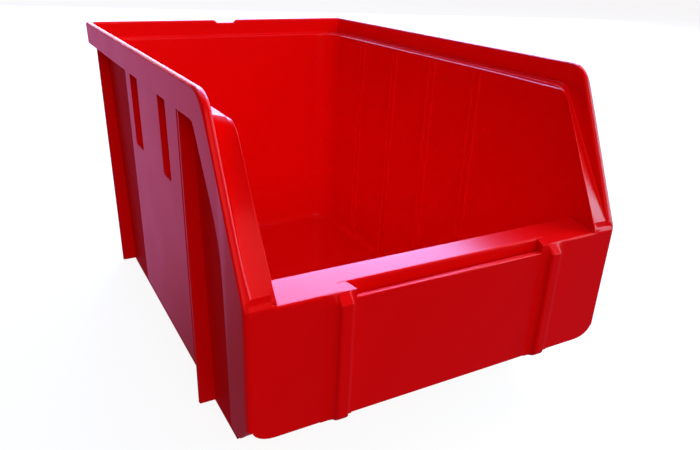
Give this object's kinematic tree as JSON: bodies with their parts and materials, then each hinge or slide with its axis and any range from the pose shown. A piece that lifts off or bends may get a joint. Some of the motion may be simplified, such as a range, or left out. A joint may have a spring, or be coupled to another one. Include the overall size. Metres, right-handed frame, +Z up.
{
  "type": "stackable storage bin",
  "caption": "Open-fronted stackable small-parts bin with a stacking rim, slanted cheeks, a low pick lip and a front label pocket between two ribs.",
  "frame": {"origin": "centre of the footprint, on the surface the feet stand on", "axes": "+Z up, -Y towards the open front, X across the width"},
  "size_m": [0.15, 0.23, 0.13],
  "materials": {
    "red_polypropylene": "semi-gloss moulded polypropylene"
  },
  "bodies": {
    "root": {"floor_pan": "red_polypropylene", "base_ramp": "red_polypropylene", "front_inner_wall": "red_polypropylene", "rear_wall": "red_polypropylene", "rim_rear": "red_polypropylene", "ledge_rear": "red_polypropylene", "front_lip": "red_polypropylene", "pocket_back_wall": "red_polypropylene", "label_panel": "red_polypropylene", "side_wall_left": "red_polypropylene", "side_wall_right": "red_polypropylene", "rear_corner_left": "red_polypropylene", "rear_corner_right": "red_polypropylene", "rear_post_left": "red_polypropylene", "rear_post_right": "red_polypropylene", "side_skin_left": "red_polypropylene", "side_skin_right": "red_polypropylene", "skin_end_rib_left": "red_polypropylene", "skin_end_rib_right": "red_polypropylene", "foot_rib_left": "red_polypropylene", "foot_rib_right": "red_polypropylene", "rim_left": "red_polypropylene", "rim_right": "red_polypropylene", "cheek_rim_left": "red_polypropylene", "cheek_rim_right": "red_polypropylene", "ledge_left": "red_polypropylene", "ledge_right": "red_polypropylene", "cheek_ledge_left": "red_polypropylene", "cheek_ledge_right": "red_polypropylene", "front_strip_left": "red_polypropylene", "front_strip_right": "red_polypropylene", "apron_left": "red_polypropylene", "apron_right": "red_polypropylene", "front_rib_left": "red_polypropylene", "front_rib_right": "red_polypropylene", "divider_guide_left_1": "red_polypropylene", "divider_guide_left_2": "red_polypropylene", "divider_guide_left_3": "red_polypropylene", "divider_guide_left_4": "red_polypropylene", "divider_guide_left_5": "red_polypropylene", "divider_guide_left_6": "red_polypropylene", "divider_guide_left_7": "red_polypropylene", "divider_guide_left_8": "red_polypropylene", "divider_guide_right_1": "red_polypropylene", "divider_guide_right_2": "red_polypropylene", "divider_guide_right_3": "red_polypropylene", "divider_guide_right_4": "red_polypropylene", "divider_guide_right_5": "red_polypropylene", "divider_guide_right_6": "red_polypropylene", "divider_guide_right_7": "red_polypropylene", "divider_guide_right_8": "red_polypropylene"}
  },
  "joints": []
}
